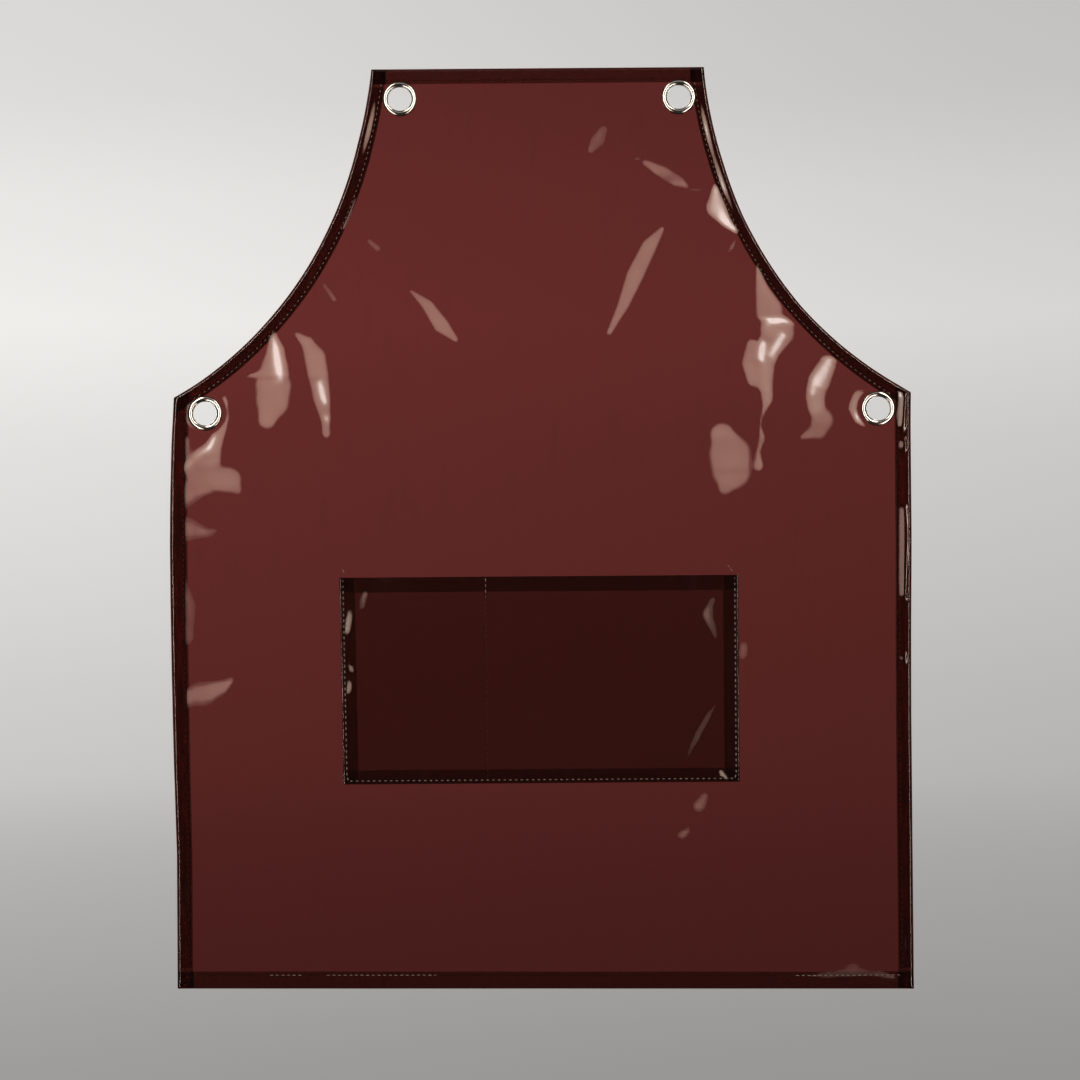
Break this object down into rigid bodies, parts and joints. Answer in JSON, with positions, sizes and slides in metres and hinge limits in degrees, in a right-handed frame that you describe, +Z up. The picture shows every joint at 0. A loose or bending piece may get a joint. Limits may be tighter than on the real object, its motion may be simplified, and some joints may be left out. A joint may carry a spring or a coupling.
{
  "type": "butcher apron",
  "caption": "Bib apron of glossy tinted clear film, with curved armholes, turned stitched hems, a wide divided patch pocket and metal eyelets at its neck and waist corners.",
  "frame": {"origin": "hanging point midway between the centres of the neck eyelets, in the middle of the body film's thickness", "axes": "+Z up as the apron hangs, +X to the viewer's right as seen from the front, the front faces -Y and the wearer's side +Y"},
  "size_m": [0.662, 0.016, 0.828],
  "materials": {
    "body_film": "high gloss see-through film",
    "hem_film": "high gloss see-through film, two or more layers",
    "pocket_film": "high gloss see-through film",
    "eyelet_metal": "polished nickel plate",
    "washer_metal": "satin nickel plate",
    "thread": "spun polyester sewing thread"
  },
  "bodies": {
    "root": {"body_panel": "body_film", "top_hem": "hem_film", "bottom_hem": "hem_film", "armhole_hem_left": "hem_film", "armhole_hem_right": "hem_film", "side_hem_left": "hem_film", "side_hem_right": "hem_film", "pocket_panel": "pocket_film", "pocket_mouth_hem": "hem_film", "pocket_foot_turning": "hem_film", "pocket_side_turning_left": "hem_film", "pocket_side_turning_right": "hem_film", "eyelet_neck_left": "eyelet_metal", "eyelet_neck_right": "eyelet_metal", "eyelet_waist_left": "eyelet_metal", "eyelet_waist_right": "eyelet_metal", "washer_neck_left": "washer_metal", "washer_neck_right": "washer_metal", "washer_waist_left": "washer_metal", "washer_waist_right": "washer_metal", "needle_thread_top_hem": "thread", "needle_thread_armhole_left": "thread", "needle_thread_armhole_right": "thread", "needle_thread_side_left": "thread", "needle_thread_side_right": "thread", "needle_thread_bottom_hem": "thread", "needle_thread_pocket_edge": "thread", "needle_thread_pocket_divider": "thread", "bobbin_thread_top_hem": "thread", "bobbin_thread_armhole_left": "thread", "bobbin_thread_armhole_right": "thread", "bobbin_thread_side_left": "thread", "bobbin_thread_side_right": "thread", "bobbin_thread_bottom_hem": "thread", "bobbin_thread_pocket_edge": "thread", "bobbin_thread_pocket_divider": "thread"}
  },
  "joints": []
}
